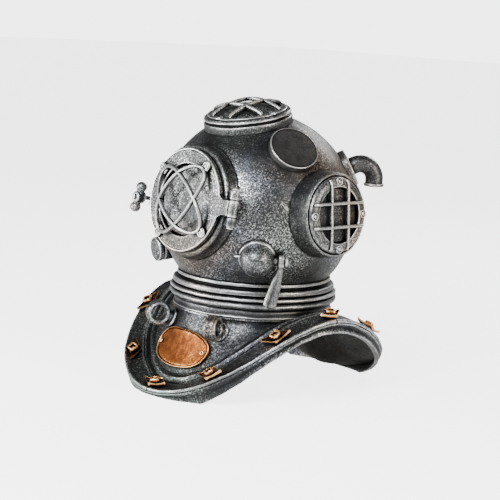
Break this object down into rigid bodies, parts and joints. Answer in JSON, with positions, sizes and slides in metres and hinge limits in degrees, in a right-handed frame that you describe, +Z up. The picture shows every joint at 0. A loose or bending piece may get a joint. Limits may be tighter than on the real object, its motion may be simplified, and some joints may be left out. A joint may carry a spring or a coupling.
{
  "type": "bubbling ornament",
  "caption": "Diver's-helmet ornament that releases air bubbles in a fish tank: domed bonnet with guarded windows on a saddle-shaped breastplate with copper wing nuts.",
  "frame": {"origin": "on the surface that the ornament stands on, below the neck's axis", "axes": "+Z up, the helmet looks along -Y, the wearer's left is +X"},
  "size_m": [0.1204, 0.1314, 0.1433],
  "materials": {
    "antique_silver": "cast resin with a stippled, dark silver-black metallic paint, black in the grooves",
    "worn_silver": "cast resin, dry-brushed with bright silver paint on the raised edges",
    "pane_grey": "opaque textured grey pane",
    "copper": "worn copper paint with dark recesses",
    "clear_tube": "translucent silicone airline",
    "inlet_plastic": "black moulded plastic",
    "air_stone": "porous bonded grit"
  },
  "bodies": {
    "base": {"breastplate": "antique_silver", "neck_ring": "antique_silver", "brail_front_left": "antique_silver", "brail_front_right": "antique_silver", "brail_rear_left": "antique_silver", "brail_rear_right": "antique_silver", "wing_nut_01": "copper", "wing_nut_02": "copper", "wing_nut_03": "copper", "wing_nut_04": "copper", "wing_nut_05": "copper", "wing_nut_06": "copper", "wing_nut_07": "copper", "wing_nut_08": "copper", "wing_nut_09": "copper", "wing_nut_10": "copper", "wing_nut_11": "copper", "wing_nut_12": "copper", "name_plate": "copper", "plate_rivet_left": "copper", "plate_rivet_right": "copper", "lashing_eye_left": "antique_silver", "lashing_eye_right": "antique_silver", "airline_inlet": "inlet_plastic", "air_tube": "clear_tube", "air_stone": "air_stone", "stone_bracket": "inlet_plastic"},
    "bonnet": {"bonnet": "antique_silver", "bonnet_ring": "antique_silver", "front_window_frame": "antique_silver", "side_window_frame_left": "antique_silver", "side_pane_left": "pane_grey", "side_grille_left": "worn_silver", "side_window_frame_right": "antique_silver", "side_pane_right": "pane_grey", "side_grille_right": "worn_silver", "top_window_frame": "antique_silver", "top_pane": "pane_grey", "top_grille": "worn_silver", "telephone_disc": "antique_silver", "gooseneck_left": "antique_silver", "gooseneck_right": "antique_silver", "exhaust_valve_body": "antique_silver", "spitcock_body": "antique_silver", "hinge_pin": "worn_silver", "swing_bolt_pin": "worn_silver"},
    "door": {"door": "antique_silver", "door_pane": "pane_grey", "door_grille": "worn_silver"},
    "swing_bolt": {"swing_bolt": "worn_silver"},
    "latch_nut": {"latch_wing_nut": "antique_silver"},
    "exhaust_knob": {"exhaust_valve_knob": "antique_silver"},
    "spitcock_lever": {"spitcock_lever": "worn_silver"}
  },
  "joints": [
    {"name": "bonnet_turn", "type": "hinge", "parent": "base", "child": "bonnet", "pos_m": [0, 0, 0.0467], "axis": [0, 0, 1], "range_deg": [-45, 0]},
    {"name": "door_hinge", "type": "hinge", "parent": "bonnet", "child": "door", "pos_m": [0.033, -0.04671, 0.09331], "axis": [0, 0.1444, 0.9895], "range_deg": [0, 110]},
    {"name": "swing_bolt_pivot", "type": "hinge", "parent": "bonnet", "child": "swing_bolt", "pos_m": [-0.0332, -0.04041, 0.08936], "axis": [0, -0.1444, -0.9895], "range_deg": [0, 90]},
    {"name": "latch_nut_spin", "type": "hinge", "parent": "swing_bolt", "child": "latch_nut", "pos_m": [-0.0332, -0.04734, 0.09037], "axis": [0, -0.9895, 0.1444], "continuous": true},
    {"name": "exhaust_knob_turn", "type": "hinge", "parent": "bonnet", "child": "exhaust_knob", "pos_m": [-0.03559, -0.02455, 0.06409], "axis": [-0.256, -0.9553, -0.1478], "continuous": true},
    {"name": "spitcock_lever_turn", "type": "hinge", "parent": "bonnet", "child": "spitcock_lever", "pos_m": [0.03603, -0.03245, 0.06885], "axis": [-0.6691, -0.7431, 0], "range_deg": [0, 90]}
  ]
}
